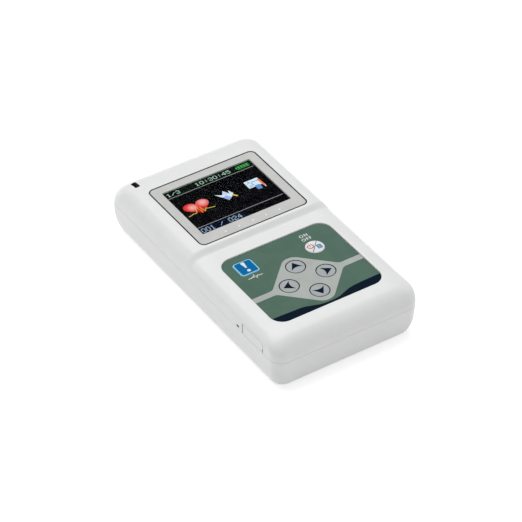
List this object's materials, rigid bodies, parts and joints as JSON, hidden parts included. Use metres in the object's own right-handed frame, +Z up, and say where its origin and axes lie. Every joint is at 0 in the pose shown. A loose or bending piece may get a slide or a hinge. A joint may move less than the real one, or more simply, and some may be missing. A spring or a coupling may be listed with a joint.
{
  "type": "handheld ecg monitor",
  "caption": "Handheld home heart recorder: raised screen half, membrane keypad with arrow, power and mark keys, side port cover, lead socket at the far end, battery door below",
  "frame": {"origin": "middle of the device's footprint, on the face it rests on", "axes": "+X to the right as the screen is read, +Y from the keypad end towards the lead socket end, +Z up out of the screen"},
  "size_m": [0.0666, 0.1253, 0.0248],
  "materials": {
    "shell_white": "smooth moulded gloss",
    "steel": "bright nickel-plated steel",
    "frame_grey": "smooth",
    "gasket_black": "matte",
    "lens_clear": "clear, hard-coated",
    "lamp_white": "translucent diffuser",
    "lcd_dark": "opaque panel",
    "holder_white": "satin",
    "flex_amber": "satin film",
    "overlay_green": "fine-grained membrane",
    "key_pale": "smooth",
    "key_white": "smooth",
    "key_blue": "smooth",
    "contact_nickel": "nickel plate",
    "board_green": "solder mask",
    "chip_black": "moulded epoxy",
    "cell_skin": "printed film over a metal can",
    "label_grey": "satin film, blank"
  },
  "bodies": {
    "case": {"top_shell": "shell_white", "bottom_shell": "shell_white", "port_cover_pin": "steel", "display_frame": "frame_grey", "frame_gasket": "gasket_black", "display_lens": "lens_clear", "indicator_lenses": "lamp_white", "lcd_panel": "lcd_dark", "lcd_holder": "holder_white", "lcd_flex": "flex_amber", "keypad_overlay": "overlay_green", "key_domes": "contact_nickel", "main_board": "board_green", "main_board_chips": "chip_black", "board_screws": "steel", "board_link": "chip_black", "front_end_board": "board_green", "front_end_chips": "chip_black", "front_end_shield": "steel", "clock_cell": "steel", "lead_connector": "steel", "lead_contacts": "chip_black", "jack_posts": "contact_nickel", "usb_port": "steel", "reset_switch": "chip_black", "beeper": "chip_black", "battery_cell_1": "cell_skin", "battery_cell_2": "cell_skin", "bridge_contact": "contact_nickel", "terminal_contacts": "contact_nickel", "contact_springs": "contact_nickel", "shell_screws": "steel", "back_label": "label_grey"},
    "key_up_body": {"key_up": "key_pale"},
    "key_down_body": {"key_down": "key_pale"},
    "key_left_body": {"key_left": "key_pale"},
    "key_right_body": {"key_right": "key_pale"},
    "key_power_body": {"key_power": "key_white"},
    "key_mark_body": {"key_mark": "key_blue"},
    "port_cover_body": {"port_cover": "shell_white"},
    "battery_door_body": {"battery_door": "shell_white"}
  },
  "joints": [
    {"name": "key_up_press", "type": "slide", "parent": "case", "child": "key_up_body", "axis": [0, 0, -1], "range_m": [0, 0.00035], "stiffness_N_per_m": 4000},
    {"name": "key_down_press", "type": "slide", "parent": "case", "child": "key_down_body", "axis": [0, 0, -1], "range_m": [0, 0.00035], "stiffness_N_per_m": 4000},
    {"name": "key_left_press", "type": "slide", "parent": "case", "child": "key_left_body", "axis": [0, 0, -1], "range_m": [0, 0.00035], "stiffness_N_per_m": 4000},
    {"name": "key_right_press", "type": "slide", "parent": "case", "child": "key_right_body", "axis": [0, 0, -1], "range_m": [0, 0.00035], "stiffness_N_per_m": 4000},
    {"name": "key_power_press", "type": "slide", "parent": "case", "child": "key_power_body", "axis": [0, 0, -1], "range_m": [0, 0.00035], "stiffness_N_per_m": 4000},
    {"name": "key_mark_press", "type": "slide", "parent": "case", "child": "key_mark_body", "axis": [0, 0, -1], "range_m": [0, 0.00035], "stiffness_N_per_m": 4000},
    {"name": "port_cover_hinge", "type": "hinge", "parent": "case", "child": "port_cover_body", "pos_m": [-0.03235, -0.03965, 0.0162], "axis": [0, 0, -1], "range_deg": [0, 95]},
    {"name": "battery_door_hinge", "type": "hinge", "parent": "case", "child": "battery_door_body", "pos_m": [0, -0.0002, 0], "axis": [1, 0, 0], "range_deg": [0, 70]}
  ]
}
